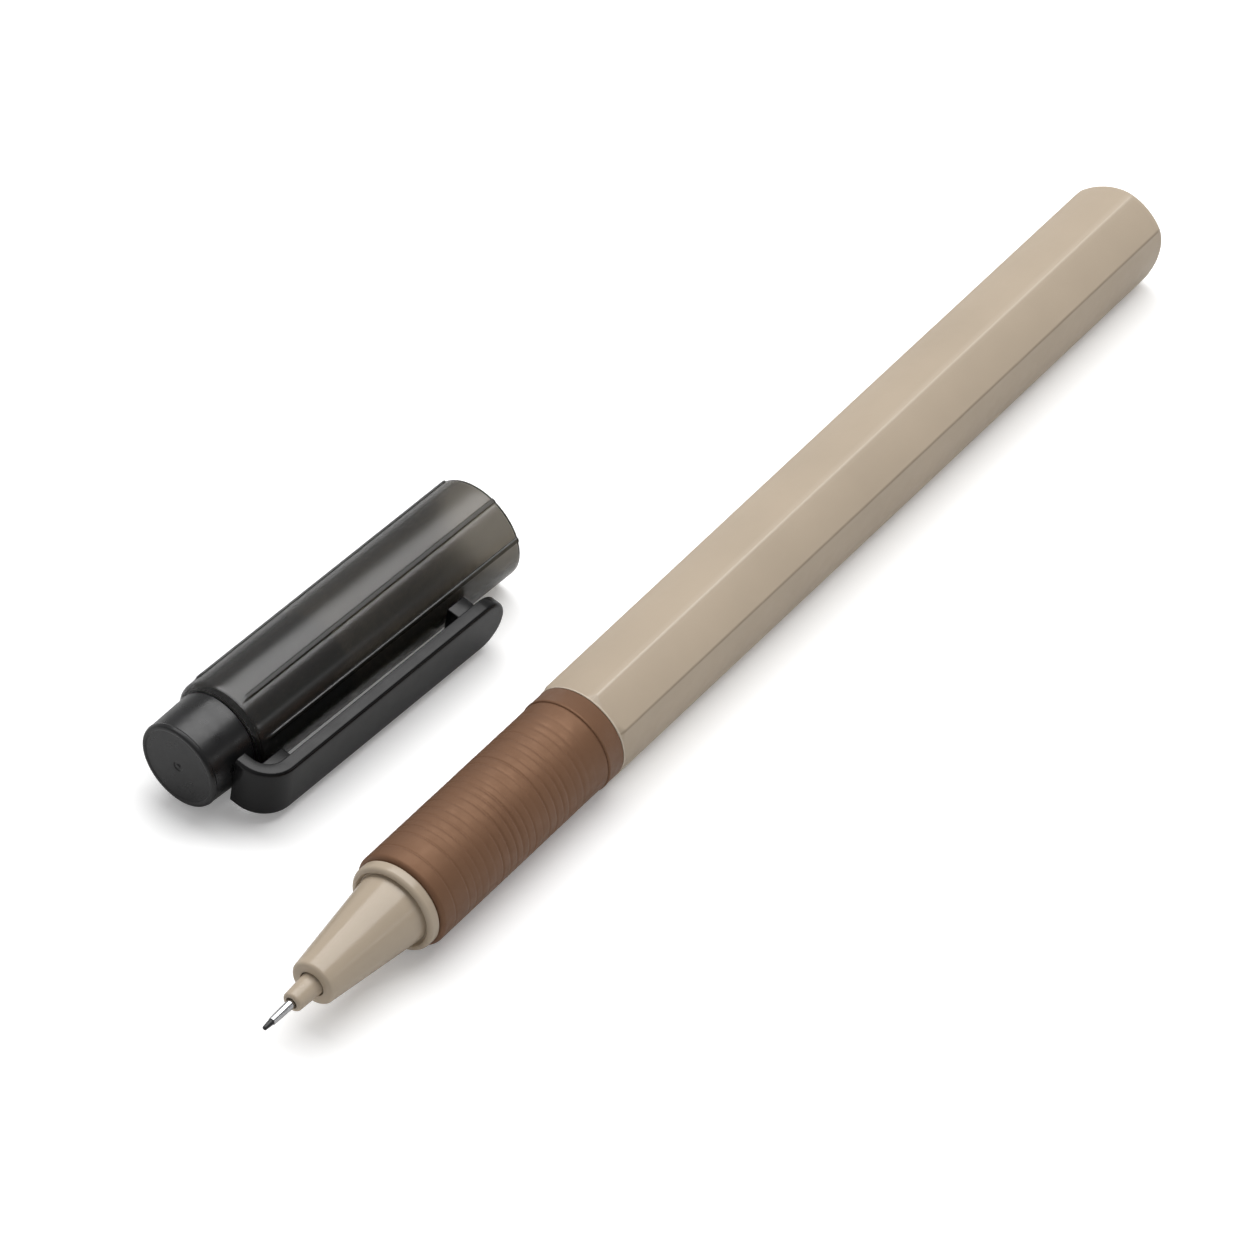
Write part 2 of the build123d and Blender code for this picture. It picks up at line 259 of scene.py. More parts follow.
def moulded_plastic(name, colour, roughness, grain, spread=0.06, gloss_level=0.43, gloss_tint=(1, 1, 1)):
    """Opaque plastic with faint colour drift, fine mould grain and uneven gloss."""
    material, tree, shader = new_material(name)
    dark = tuple(channel * (1 - spread) for channel in colour[:3])
    light = tuple(min(1, channel * (1 + spread)) for channel in colour[:3])
    drift = noise(tree, DRIFT_SCALE, 4.0)
    tree.links.new(ramp(tree, drift, dark, light), shader.inputs["Base Color"])
    gloss = noise(tree, GLOSS_SCALE, 2.0)
    rough = ramp(tree, gloss, (roughness * MOST_GLOSS,) * 3, (min(1, roughness * LEAST_GLOSS),) * 3)
    tree.links.new(rough, shader.inputs["Roughness"])
    bump(tree, shader, noise(tree, GRAIN_SCALE, 2.0), grain * MM)
    shader.inputs["IOR"].default_value = PLASTIC_IOR
    shader.inputs["Specular IOR Level"].default_value = gloss_level
    shader.inputs["Specular Tint"].default_value = (*gloss_tint, 1)
    return material


def barrel_material():
    """Satin plastic; its lit ridges and front lip are glossier and painted paler as a highlight, and its
    ridges turned from the light are painted darker as shade.
    """
    material = moulded_plastic("barrel_satin", BEIGE, 0.38, 0.004, gloss_level=0.25)
    tree = material.node_tree
    shader = tree.nodes["Principled BSDF"]
    marks = (
        # Lit ridges and lip: a painted highlight colour and a real lower roughness.
        ("highlight_and_polish", "Base Color", linear(196, 183, 166)),
        ("highlight_and_polish", "Roughness", (0.16, 0.16, 0.16, 1)),
        # Ridges turned from the light: a painted shade colour, darker than the beige.
        ("painted_shade_ridge", "Base Color", linear(146, 132, 115)),
    )
    for name, socket, colour in marks:
        blend_into(tree, shader, socket, read_attribute(tree, name), colour)
    return material


def give(piece, material):
    """Make this the only material of a piece."""
    piece.data.materials.clear()
    piece.data.materials.append(material)


BEIGE = linear(178, 163, 144)
BARREL = barrel_material()
NOSE = moulded_plastic("nose_gloss", BEIGE, 0.2, 0.001, gloss_level=0.34)
HOLDER = moulded_plastic("holder_gloss", BEIGE, 0.25, 0.001, gloss_level=0.34)
BLACK = moulded_plastic("black_satin", linear(24, 24, 25), 0.3, 0.003, spread=0.15)
CLIP = moulded_plastic("clip_gloss", linear(13, 13, 14), 0.22, 0.001, spread=0.1, gloss_level=0.27)
NIB = moulded_plastic("nib_black", linear(30, 30, 32), 0.35, 0.001)
SLEEVE = moulded_plastic("sleeve_grey", linear(112, 109, 102), 0.4, 0.002)


def grip_material():
    """Brown rubber with a broad warm sheen."""
    return moulded_plastic(
        "grip_rubber", linear(106, 77, 58), 0.5, 0.006,
        spread=0.08, gloss_level=0.75, gloss_tint=(1.0, 0.6, 0.38),
    )


def steel_material():
    """Drawn steel with streaks along X."""
    material, tree, shader = new_material("nib_steel")
    shader.inputs["Metallic"].default_value = 1.0
    streaks = noise(tree, 900, 2.0, (0.05, 1, 1))
    tone = ramp(tree, streaks, (0.5, 0.5, 0.51), (0.66, 0.66, 0.67))
    tree.links.new(tone, shader.inputs["Base Color"])
    tree.links.new(ramp(tree, streaks, (0.1,) * 3, (0.2,) * 3), shader.inputs["Roughness"])
    return material


def cap_material():
    """Smoke-grey clear plastic: light is lost with the length of its way through the wall."""
    material, tree, shader = new_material("cap_smoke")
    # The ribs are painted dark in the wall's colour as shade; elsewhere the wall has a pale clear tint.
    tone = ramp(tree, read_attribute(tree, "ribs"), (0.9, 0.89, 0.87), (0.16, 0.155, 0.14), 0.0, 1.0)
    tree.links.new(tone, shader.inputs["Base Color"])
    rough = ramp(tree, read_attribute(tree, "frosting"), (0.19,) * 3, (0.45,) * 3, 0.0, 1.0)
    tree.links.new(rough, shader.inputs["Roughness"])
    shader.inputs["Specular IOR Level"].default_value = 0.34
    shader.inputs["IOR"].default_value = 1.49
    shader.inputs["Transmission Weight"].default_value = 0.985
    smoke = node(tree, "ShaderNodeVolumeAbsorption", Color=(0.3, 0.25, 0.16, 1), Density=2800)
    tree.links.new(smoke.outputs["Volume"], tree.nodes["Material Output"].inputs["Volume"])
    return material


# ---- barrel ----

GRIP_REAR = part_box("grip_sleeve")[0].x / MM
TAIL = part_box("barrel_shell")[0].x / MM
BARREL_CORNER = 5.57
BROAD_FACE = 72.0
BROAD_ROLL = 111.3
CROWN = 20.0
RIDGE_ROUND = 0.45
TAIL_ROUND = 1.5
ENVELOPE_GAP = 0.05
TAIL_FACE_RADII = (0.0, 0.8, 1.6, 2.4, 3.0, 3.4)
TAIL_STEPS = 16
LEAD_STEPS = 3
LEAD_STEP = 0.3
RUN_STEPS = 40
RUN_END = 1.4
BARREL_BORE = 3.9
BORE_DEPTH = 8
FRONT_TAPER = 0.023
TAPER_START = -80.0
BEVEL_STEPS = ((0.75, 5.6), (0.62, 5.38), (0.6, 5.36), (0.45, 5.31), (0.3, 5.26), (0.15, 5.21), (0.0, 5.16))
TAIL_SOFTNESS, FRONT_SOFTNESS = 0.25, 0.03
LIP_WIDTH = 0.16
LIP_RADIUS = 5.24
# Widths in degrees of the painted highlight on the lit ridges and of the painted shade on the ridges turned
# away.
LIT_RIDGE_SPREAD, SHADE_RIDGE_SPREAD = 3.2, 2.2
MARKS_START, MARKS_FADE = 0.4, 0.8


def polar(radius, degrees):
    """Point across the axis, as (y, z), at a radius and direction."""
    angle = math.radians(degrees)
    return Vector((radius * math.cos(angle), radius * math.sin(angle)))


def barrel_section():
    """Closed outline of six crowned faces with rounded ridges, as (y, z) points."""
    corners = []
    for third in range(3):
        middle = BROAD_ROLL + 120 * third
        corners += [polar(BARREL_CORNER, middle + side * BROAD_FACE / 2) for side in (-1, 1)]
    outline = []
    for index, corner in enumerate(corners):
        before, after = corners[index - 1], corners[(index + 1) % 6]
        outline += arc_between(before, corner, after, RIDGE_ROUND, 8)
        reach = RIDGE_ROUND * math.tan(math.radians(30))
        chord = after - corner
        start, end = corner + chord.normalized() * reach, after - chord.normalized() * reach
        half = chord.length / 2
        depth = CROWN - math.sqrt(CROWN ** 2 - half ** 2)
        outward = ((start + end) / 2).normalized()
        for step in range(1, 10):
            share = step / 10
            outline.append(start.lerp(end, share) + outward * depth * (1 - (2 * share - 1) ** 2))
    return outline


def smooth_least(a, b, softness):
    """The smaller of two lengths, with a soft join where they meet."""
    mix = max(softness - abs(a - b), 0) / softness
    return min(a, b) - mix * mix * softness / 4


def barrel_envelope():
    """(x, limit) rings: flat tail, round edge, straight run and bevelled front."""
    rim = BARREL_CORNER + ENVELOPE_GAP
    flat = rim - TAIL_ROUND
    rings = [(TAIL, radius) for radius in TAIL_FACE_RADII]
    for step in range(1, TAIL_STEPS + 1):
        angle = math.radians(90 * step / TAIL_STEPS)
        rings.append((TAIL + TAIL_ROUND * (1 - math.cos(angle)), flat + TAIL_ROUND * math.sin(angle)))
    start = TAIL + TAIL_ROUND
    rings += [(start + LEAD_STEP * step, rim + 0.2 * step) for step in range(1, LEAD_STEPS + 1)]
    start += LEAD_STEP * LEAD_STEPS
    run = GRIP_REAR - RUN_END - start
    rings += [(start + run * step / RUN_STEPS, rim + 0.6) for step in range(1, RUN_STEPS + 1)]
    rings += [(GRIP_REAR - LIP_WIDTH - back, limit) for back, limit in BEVEL_STEPS]
    return rings


def mark_ridges(piece):
    """Stores how near each point is to a lit ridge or the front lip, for a lower roughness and a painted
    highlight, and to a ridge turned from the light, for a painted shade line.
    """
    highlight_and_polish = piece.data.attributes.new("highlight_and_polish", "FLOAT", "POINT")
    painted_shade_ridge = piece.data.attributes.new("painted_shade_ridge", "FLOAT", "POINT")
    for vertex in piece.data.vertices:
        angle = math.degrees(math.atan2(vertex.co.z, vertex.co.y)) - BROAD_ROLL
        from_lit_ridge, from_shade_ridge = [
            min(gap_between(angle, 120 * third + side * BROAD_FACE / 2) for third in range(3))
            for side in (-1, 1)
        ]
        from_tail = vertex.co.x / MM - TAIL
        on_side = min(1.0, max(0.0, (from_tail - MARKS_START) / MARKS_FADE))
        lip = 1.0 if vertex.co.x > (GRIP_REAR - 1.2 * LIP_WIDTH) * MM else 0.0
        # The lit ridges and the front lip get the painted highlight and the lower roughness.
        highlight_and_polish.data[vertex.index].value = max(lip, on_side * (1 - from_lit_ridge / LIT_RIDGE_SPREAD))
        # The ridges turned from the light get a painted shade line, faded in from the tail.
        painted_shade_ridge.data[vertex.index].value = 0.0 if lip else on_side * max(0.0, 1 - from_shade_ridge / SHADE_RIDGE_SPREAD)


def make_barrel():
    """The section carried along X and held inside the envelope; the rings of the tail face are circles."""
    section = barrel_section()
    vertices, rings = [], []

    def add_ring(x, spokes):
        rings.append(list(range(len(vertices), len(vertices) + len(spokes))))
        vertices.extend((x, spoke.x, spoke.y) for spoke in spokes)

    for x, limit in barrel_envelope():
        narrowing = 1 - FRONT_TAPER * min(1.0, max(0.0, (x - TAPER_START) / (GRIP_REAR - TAPER_START)))
        softness = TAIL_SOFTNESS if x < TAPER_START else FRONT_SOFTNESS
        spokes = []
        for point in section:
            held = limit
            if limit > TAIL_FACE_RADII[-1]:
                held = smooth_least(point.length * narrowing, limit, softness)
            spokes.append(point * (held / point.length))
        add_ring(x, spokes)
    lip_and_bore = (
        (GRIP_REAR - LIP_WIDTH, LIP_RADIUS - 0.03),
        (GRIP_REAR - 0.7 * LIP_WIDTH, LIP_RADIUS),
        (GRIP_REAR - 0.3 * LIP_WIDTH, LIP_RADIUS),
        (GRIP_REAR, LIP_RADIUS - 0.04),
        (GRIP_REAR, BARREL_BORE),
        (GRIP_REAR - BORE_DEPTH, BARREL_BORE),
        (GRIP_REAR - BORE_DEPTH, 0.0),
    )
    for x, radius in lip_and_bore:
        add_ring(x, [point.normalized() * radius for point in section])
    piece = finish_mesh("barrel", vertices, skin(rings), sharp=40)
    weld(piece)
    mark_ridges(piece)
    give(piece, BARREL)
    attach(piece, "pen")
    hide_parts("barrel_shell")


# ---- grip ----

GRIP_RADIUS = 5.14
GRIP_REAR_BAND_RADIUS = 5.22
GRIP_BORE = 4.2
GRIP_REAR_BAND = 2.3
GRIP_FRONT_ROUND = 0.5
FIRST_GROOVES = (-1.9, -3.95)
GROOVE_PITCH = 0.98
GROOVE_SEED, WAVE_SEED = 4, 9
WAVE_DEPTH = 0.008
GRIP_SPAN = 0.075


def grip_grooves():
    """(x, depth, half width, turns, phase) of each uneven groove; they fade towards the rear band."""
    generator = random.Random(GROOVE_SEED)
    grooves = [(x, 0.07, 0.1, 1, 0.0) for x in FIRST_GROOVES]
    x = FIRST_GROOVES[-1] - 1.1
    fade_end = GRIP_REAR + GRIP_REAR_BAND + 1.6
    while x > fade_end:
        fade = min(1.0, 0.2 + (x - fade_end) / 5.0)
        depth = generator.uniform(0.06, 0.11) * fade
        width = generator.uniform(0.1, 0.17) / (0.4 + 0.6 * fade)
        grooves.append((x, depth, width, generator.choice((1, 2)), generator.uniform(0, 6.28)))
        x -= GROOVE_PITCH * generator.uniform(0.82, 1.18)
    return grooves


def grip_outline():
    """Round the sleeve once: rear face, rear band with a bead and a groove, plain run and round front."""
    start = GRIP_REAR + GRIP_REAR_BAND
    points = [Vector(corner) for corner in (
        (GRIP_REAR, GRIP_BORE),
        (GRIP_REAR, GRIP_REAR_BAND_RADIUS - 0.12),
        (GRIP_REAR + 0.1, GRIP_REAR_BAND_RADIUS - 0.02),
        (start - 0.3, GRIP_REAR_BAND_RADIUS - 0.02),
        (start - 0.22, GRIP_REAR_BAND_RADIUS + 0.025),
        (start - 0.08, GRIP_REAR_BAND_RADIUS + 0.025),
        (start, GRIP_REAR_BAND_RADIUS - 0.04),
        (start + 0.03, GRIP_RADIUS - 0.05),
        (start + 0.09, GRIP_RADIUS - 0.05),
        (start + 0.15, GRIP_RADIUS),
    )]
    front = rounded([(-1.0, GRIP_RADIUS, 0), (0, GRIP_RADIUS, GRIP_FRONT_ROUND), (0, GRIP_BORE, 0)], 10)
    plain = densified([points[-1], front[0]], GRIP_SPAN)
    return points[:-1] + plain + front[1:]


def make_grip():
    grooves = grip_grooves()
    generator = random.Random(WAVE_SEED)
    waves = [(generator.uniform(0, 6.28), generator.uniform(0.5, 1.5)) for _ in range(8)]

    def warp(x, radius, angle):
        """Sink the grooves and a faint waviness into the plain run."""
        if radius < GRIP_BORE + 0.3 or x < GRIP_REAR + GRIP_REAR_BAND + 0.2 or x > -GRIP_FRONT_ROUND:
            return x, radius
        drift = 0
        for index, (phase, rate) in enumerate(waves):
            drift += math.sin(x * rate + phase + angle * (1 + index % 3))
        radius -= WAVE_DEPTH * (0.5 + drift / len(waves))
        for centre, depth, width, turns, phase in grooves:
            offset = (x - centre) / width
            if abs(offset) < 3:
                share = 0.68 + 0.32 * math.sin(turns * angle + phase)
                radius -= depth * share * math.exp(-offset * offset)
        return x, radius

    piece = lathe("grip", grip_outline(), 144, warp, sharp=60)
    give(piece, grip_material())
    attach(piece, "pen")
    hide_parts("grip_sleeve")


# ---- nose, nib and their carriers ----

CONE_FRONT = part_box("nose_section")[1].x / MM
HOLDER_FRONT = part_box("nib_holder")[1].x / MM
TUBE_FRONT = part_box("nib_tube")[1].x / MM
NIB_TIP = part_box("nib_core")[1].x / MM
COLLAR = MOUNTS["nose_collar"]["dims"]["r_mm"]
CONE_FRONT_RADIUS = 2.36
CONE_REAR_RADIUS = 3.87
CONE_REAR = 0.8
COLLAR_FRONT = 1.3
NOSE_BORE = 1.33
NOSE_REAR = -3.0
GROOVE_DEPTH = 0.16
HOLDER_MOUTH_RADIUS = 1.03
HOLDER_NECK_RADIUS = 1.22
TUBE_FRONT_RADIUS, TUBE_REAR_RADIUS = 0.39, 0.47
NIB_ROOT_RADIUS, NIB_TIP_RADIUS = 0.32, 0.21


def make_nose():
    corners = [
        (CONE_FRONT - 1.5, NOSE_BORE, 0),
        (CONE_FRONT, NOSE_BORE, 0.05),
        (CONE_FRONT, CONE_FRONT_RADIUS, 0.38),
        (CONE_REAR, CONE_REAR_RADIUS, 0.08),
        (COLLAR_FRONT, 4.17, 0.1),
        (COLLAR_FRONT, COLLAR, 0.44),
        (0.15, COLLAR, 0.04),
        (0.1, COLLAR - GROOVE_DEPTH, 0),
        (0.0, COLLAR - GROOVE_DEPTH, 0),
        (0.0, GRIP_BORE, 0),
        (NOSE_REAR, GRIP_BORE, 0),
        (NOSE_REAR, NOSE_BORE, 0),
    ]
    piece = lathe("nose", densified(rounded(corners, 8), 0.8), 160, sharp=50)
    give(piece, NOSE)
    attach(piece, "pen")
    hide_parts("nose_section")


def make_nib():
    """Holder, steel tube and nib rod, one inside another."""
    holder = lathe("holder", densified(rounded([
        (HOLDER_FRONT - 1.0, 0.3, 0),
        (HOLDER_FRONT - 1.0, 0.6, 0),
        (HOLDER_FRONT, 0.6, 0.05),
        (HOLDER_FRONT, HOLDER_MOUTH_RADIUS, 0.3),
        (CONE_FRONT - 0.5, HOLDER_NECK_RADIUS, 0),
        (CONE_FRONT - 1.2, HOLDER_NECK_RADIUS, 0),
        (CONE_FRONT - 1.2, 0.3, 0),
    ]), 0.4), 96)
    give(holder, HOLDER)
    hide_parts("nib_holder")
    tube = lathe("needle", densified(rounded([
        (HOLDER_FRONT - 2, 0.2, 0),
        (TUBE_FRONT, 0.2, 0.0),
        (TUBE_FRONT, TUBE_FRONT_RADIUS, 0.05),
        (HOLDER_FRONT - 0.1, TUBE_REAR_RADIUS, 0.3),
        (HOLDER_FRONT - 2, TUBE_REAR_RADIUS, 0),
    ]), 0.3), 64)
    give(tube, steel_material())
    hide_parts("nib_tube")
    nib = lathe("nib", densified(rounded([
        (TUBE_FRONT - 1.0, 0.0, 0),
        (TUBE_FRONT - 1.0, 0.2, 0),
        (TUBE_FRONT, 0.2, 0),
        (TUBE_FRONT, NIB_ROOT_RADIUS, 0.05),
        (NIB_TIP, NIB_TIP_RADIUS, 0.16),
        (NIB_TIP, 0.0, 0),
    ]), 0.1), 48)
    give(nib, NIB)
    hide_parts("nib_core")
    for piece in (holder, tube, nib):
        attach(piece, "pen")


def finish_inner_nodes():
    """Fibre, film and guide inside the pen keep their CAD shape and get their own materials."""
    fibre = moulded_plastic("reservoir_fibre", linear(62, 62, 66), 0.8, 0.02, spread=0.3, gloss_level=0.1)
    wick = moulded_plastic("wick_fibre", linear(44, 44, 48), 0.8, 0.02, spread=0.3, gloss_level=0.1)
    film = moulded_plastic("wrap_film", linear(225, 225, 222), 0.3, 0.002)
    guide = moulded_plastic("guide_plastic", linear(215, 213, 206), 0.4, 0.002)
    finishes = {"feed_wick": wick, "wick_guide": guide, "ink_reservoir": fibre, "reservoir_wrap": film}
    for name, material in finishes.items():
        for slot in frame["nodes"][name].material_slots:
            slot.material = material


# ---- cap ----

CAP_MOUTH = Vector(MOUNTS["cap_mouth"]["pos_m"])
CAP_AXIS = -Vector(MOUNTS["cap_mouth"]["axis"])
CAP_PLACE = Matrix.Translation(CAP_MOUTH) @ Matrix.Rotation(math.atan2(CAP_AXIS.y, CAP_AXIS.x), 4, "Z")
CAP_BORE = MOUNTS["cap_mouth"]["dims"]["r_mm"]
CAP_BORE_LENGTH = MOUNTS["cap_mouth"]["dims"]["length_mm"]
CAP_TUBE_LENGTH = 37.3
CAP_LENGTH = 43.0
CAP_MOUTH_RADIUS = 5.5
CAP_SHOULDER_RADIUS = 5.42
RIB_START = 18.0
RIB_LENGTH = 35.6
RIB_WIDTH = 0.5
RIB_HEIGHT = 0.16
RIB_STEPS = 8
RIB_CLEARING = 2.2
TUBE_STEP = 3.0
CAP_INNER_BORE = 4.65
CAP_END_WALL = 1.0
CAP_END_BORE = 3.6
PLUG_START = 31.0
PLUG_CORE = 2.7
PLUG_CORE_END = 41.6
PLUG_SPIGOT = 3.48
SLEEVE_START = 23.3
SLEEVE_RADIUS = 4.3
SLEEVE_BORE = 3.55


def rib_angles():
    """Directions of the cap's six ribs, which follow the barrel's ridges."""
    return [RIB_START + step + 120 * third for third in range(3) for step in (0, 120 - BROAD_FACE)]


def tube_angles():
    """Directions round the tube, close together across each rib."""
    angles = [index * TUBE_STEP for index in range(round(360 / TUBE_STEP))]
    half = math.degrees(RIB_WIDTH / 2 / CAP_MOUTH_RADIUS)
    for rib in rib_angles():
        angles = [angle for angle in angles if gap_between(angle, rib) > half * RIB_CLEARING]
        for step in range(-RIB_STEPS, RIB_STEPS + 1):
            angles.append((rib + half * 2 * step / RIB_STEPS) % 360)
    return sorted(angles)


def rib_height(x, angle):
    """Height of the nearest rib above the tube, with a rounded start and soft flanks."""
    half = RIB_WIDTH / 2
    height = 0.0
    for rib in rib_angles():
        side = math.radians(gap_between(angle, rib)) * CAP_MOUTH_RADIUS
        along = max(0.0, x - (RIB_LENGTH - half))
        distance = math.hypot(side, along)
        share = min(1.0, max(0.0, (half * 1.2 - distance) / (half * 0.5)))
        height = max(height, RIB_HEIGHT * share * share * (3 - 2 * share))
    return height


def mark_cap(piece):
    """Stores where the tube is frosted, inside and on the ribs, and where its ribs run, which the material
    paints darker as shade.
    """
    frosting = piece.data.attributes.new("frosting", "FLOAT", "POINT")
    ribs = piece.data.attributes.new("ribs", "FLOAT", "POINT")
    for vertex in piece.data.vertices:
        inside = math.hypot(vertex.co.y, vertex.co.z) < (CAP_BORE + 0.1) * MM
        turn = math.degrees(math.atan2(vertex.co.z, vertex.co.y))
        raised = 0.0 if inside else rib_height(vertex.co.x / MM, turn) / RIB_HEIGHT
        frosting.data[vertex.index].value = 1.0 if inside else 0.9 * raised
        # The rib share drives the painted shade on the ribs.
        ribs.data[vertex.index].value = raised


def make_cap_tube():
    inner_end = CAP_TUBE_LENGTH - CAP_END_WALL
    corners = [
        (inner_end, CAP_END_BORE, 0),
        (CAP_TUBE_LENGTH, CAP_END_BORE, 0),
        (CAP_TUBE_LENGTH, CAP_SHOULDER_RADIUS, 0.85),
        (0.0, CAP_MOUTH_RADIUS, 0.18),
        (0.0, CAP_BORE, 0.12),
        (CAP_BORE_LENGTH, CAP_BORE, 0),
        (CAP_BORE_LENGTH + 1.2, CAP_INNER_BORE, 0),
        (inner_end, CAP_INNER_BORE, 0.2),
        (inner_end, CAP_END_BORE, 0),
    ]
    outline = densified(rounded(corners, 8)[:-1], 0.5)
    angles = tube_angles()
    vertices, rings = [], []
    for point in outline:
        ring = []
        outside = point.y > CAP_BORE + 0.3 and 0.1 < point.x < CAP_TUBE_LENGTH - 0.6
        for angle in angles:
            radius = point.y + (rib_height(point.x, angle) if outside else 0.0)
            spoke = polar(radius, angle)
            ring.append(len(vertices))
            vertices.append((point.x, spoke.x, spoke.y))
        rings.append(ring)
    piece = finish_mesh("cap_body", vertices, skin(rings, True), sharp=45)
    weld(piece)
    mark_cap(piece)
    piece.data.transform(CAP_PLACE)
    for vertex in piece.data.vertices:
        vertex.co.z = max(vertex.co.z, CAD_LOW[2])
    give(piece, cap_material())
    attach(piece, "cap")
    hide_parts("cap_tube")


def make_plug():
    corners = [
        (PLUG_START, PLUG_CORE, 0),
        (PLUG_START, PLUG_SPIGOT, 0.1),
        (CAP_TUBE_LENGTH + 0.02, PLUG_SPIGOT, 0),
        (CAP_TUBE_LENGTH + 0.02, 4.78, 0.08),
        (CAP_LENGTH - 0.55, 4.58, 0.1),
        (CAP_LENGTH - 0.4, 4.62, 0.1),
        (CAP_LENGTH, 4.5, 0.25),
        (CAP_LENGTH, 4.1, 0.0),
        (CAP_LENGTH - 0.08, 4.0, 0.05),
        (CAP_LENGTH - 0.08, 0.55, 0.05),
        (CAP_LENGTH - 0.16, 0.5, 0.05),
        (CAP_LENGTH - 0.16, 0.25, 0.05),
        (CAP_LENGTH - 0.06, 0.18, 0.03),
        (CAP_LENGTH - 0.06, 0.0, 0),
        (PLUG_CORE_END, 0.0, 0),
        (PLUG_CORE_END, PLUG_CORE, 0.3),
        (PLUG_START, PLUG_CORE, 0),
    ]
    piece = lathe("plug", densified(rounded(corners), 0.8)[:-1], 128, sharp=40)
    piece.data.transform(CAP_PLACE)
    give(piece, BLACK)
    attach(piece, "cap")
    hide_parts("cap_plug")


def make_inner_sleeve():
    end = CAP_TUBE_LENGTH - CAP_END_WALL - 0.02
    corners = [
        (SLEEVE_START, SLEEVE_BORE, 0),
        (SLEEVE_START, SLEEVE_RADIUS, 0.15),
        (end, SLEEVE_RADIUS, 0),
        (end, SLEEVE_BORE, 0),
    ]
    piece = lathe("inner_sleeve", densified(rounded(corners), 0.8), 96)
    piece.data.transform(CAP_PLACE)
    give(piece, SLEEVE)
    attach(piece, "cap")
    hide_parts("cap_inner_sleeve")


# ---- clip ----

CLIP_TURN = -9.3
CLIP_HALF_WIDTH = 3.0
CLIP_THICKNESS = 1.45
CLIP_ARM_X = 40.5
CLIP_ARM_START = 4.72
CLIP_TIP_X = 6.3
CLIP_ROOT_RADIUS = 9.15
CLIP_TIP_RADIUS = 9.0
CLIP_BEND = 3.5
CLIP_TIP_ROUND = 2.98
CLIP_OUTER_ROUND = 0.42
CLIP_INNER_ROUND = 0.14
CLIP_BEND_STEPS, CLIP_RUN_STEPS, CLIP_TIP_STEPS = 16, 24, 18
PAD_BOX = ((8.9, 5.68, -1.95), (11.3, 7.75, 1.95))
GUSSET_BOX = ((35.05, 5.85, -1.5), (39.6, 7.8, 1.5))


def clip_path():
    """(x, radius, outward angle) stations of the clip's outer face, from the knob to the tip's arc."""
    stations = []
    bend_x, bend_radius = CLIP_ARM_X - CLIP_BEND, CLIP_ROOT_RADIUS - CLIP_BEND
    for step in range(4):
        stations.append((CLIP_ARM_X, CLIP_ARM_START + (bend_radius - CLIP_ARM_START) * step / 4, 0.0))
    for step in range(CLIP_BEND_STEPS + 1):
        angle = math.radians(90 * step / CLIP_BEND_STEPS)
        x = bend_x + CLIP_BEND * math.cos(angle)
        stations.append((x, bend_radius + CLIP_BEND * math.sin(angle), angle))
    slope = math.atan2(CLIP_ROOT_RADIUS - CLIP_TIP_RADIUS, bend_x - CLIP_TIP_X)
    end_x = CLIP_TIP_X + CLIP_TIP_ROUND
    for step in range(1, CLIP_RUN_STEPS + 1):
        x = bend_x + (end_x - bend_x) * step / CLIP_RUN_STEPS
        radius = CLIP_ROOT_RADIUS - (bend_x - x) * math.tan(slope)
        stations.append((x, radius, math.pi / 2 + slope))
    return stations


def clip_layers():
    """(inset, height) steps up the clip's side wall, with a round at the inner and the outer edge."""
    layers = []
    for step in range(5):
        angle = math.radians(90 * step / 4)
        layers.append((CLIP_INNER_ROUND * (1 - math.sin(angle)), CLIP_INNER_ROUND * (1 - math.cos(angle))))
    for step in range(9):
        angle = math.radians(90 * step / 8)
        inset = CLIP_OUTER_ROUND * (1 - math.cos(angle))
        layers.append((inset, CLIP_THICKNESS - CLIP_OUTER_ROUND * (1 - math.sin(angle))))
    return layers


def clip_ring(half_width, forward):
    """One loop round the strip as (forward, across, height), at a given half width and lead."""
    loop = []
    shares = [-0.8, -0.4, 0.0, 0.4, 0.8]
    layers = clip_layers()
    for share in shares:
        inset = layers[0][0]
        loop.append((forward(inset), share * half_width(inset), 0.0))
    for inset, height in layers:
        loop.append((forward(inset), half_width(inset), height))
    for share in reversed(shares):
        inset = layers[-1][0]
        loop.append((forward(inset), share * half_width(inset), CLIP_THICKNESS))
    for inset, height in reversed(layers):
        loop.append((forward(inset), -half_width(inset), height))
    return loop


def clip_strip():
    """Vertices (x, radius, across) and faces of the bent strip with its round tip."""
    loops = []
    for x, radius, angle in clip_path():
        loop = clip_ring(lambda inset: CLIP_HALF_WIDTH - inset, lambda inset: 0.0)
        loops.append((x, radius, angle, loop))
    x, radius, angle = clip_path()[-1]
    for step in range(1, CLIP_TIP_STEPS + 1):
        turn = math.radians(90 * step / CLIP_TIP_STEPS)
        across, ahead = math.cos(turn), math.sin(turn)
        side = CLIP_HALF_WIDTH - CLIP_TIP_ROUND
        loop = clip_ring(
            lambda inset: side * (1 - step / CLIP_TIP_STEPS) + (CLIP_TIP_ROUND - inset) * across,
            lambda inset: (CLIP_TIP_ROUND - inset) * ahead,
        )
        loops.append((x, radius, angle, loop))
    vertices, rings = [], []
    for x, radius, angle, loop in loops:
        out = (math.cos(angle), math.sin(angle))
        along = (-math.sin(angle), math.cos(angle))
        ring = []
        for forward, across, height in loop:
            depth = height - CLIP_THICKNESS
            ring.append(len(vertices))
            vertices.append((
                x + out[0] * depth + along[0] * forward,
                radius + out[1] * depth + along[1] * forward,
                across,
            ))
        rings.append(ring)
    faces = skin(rings)
    faces.append(tuple(reversed(rings[0])))
    return vertices, faces


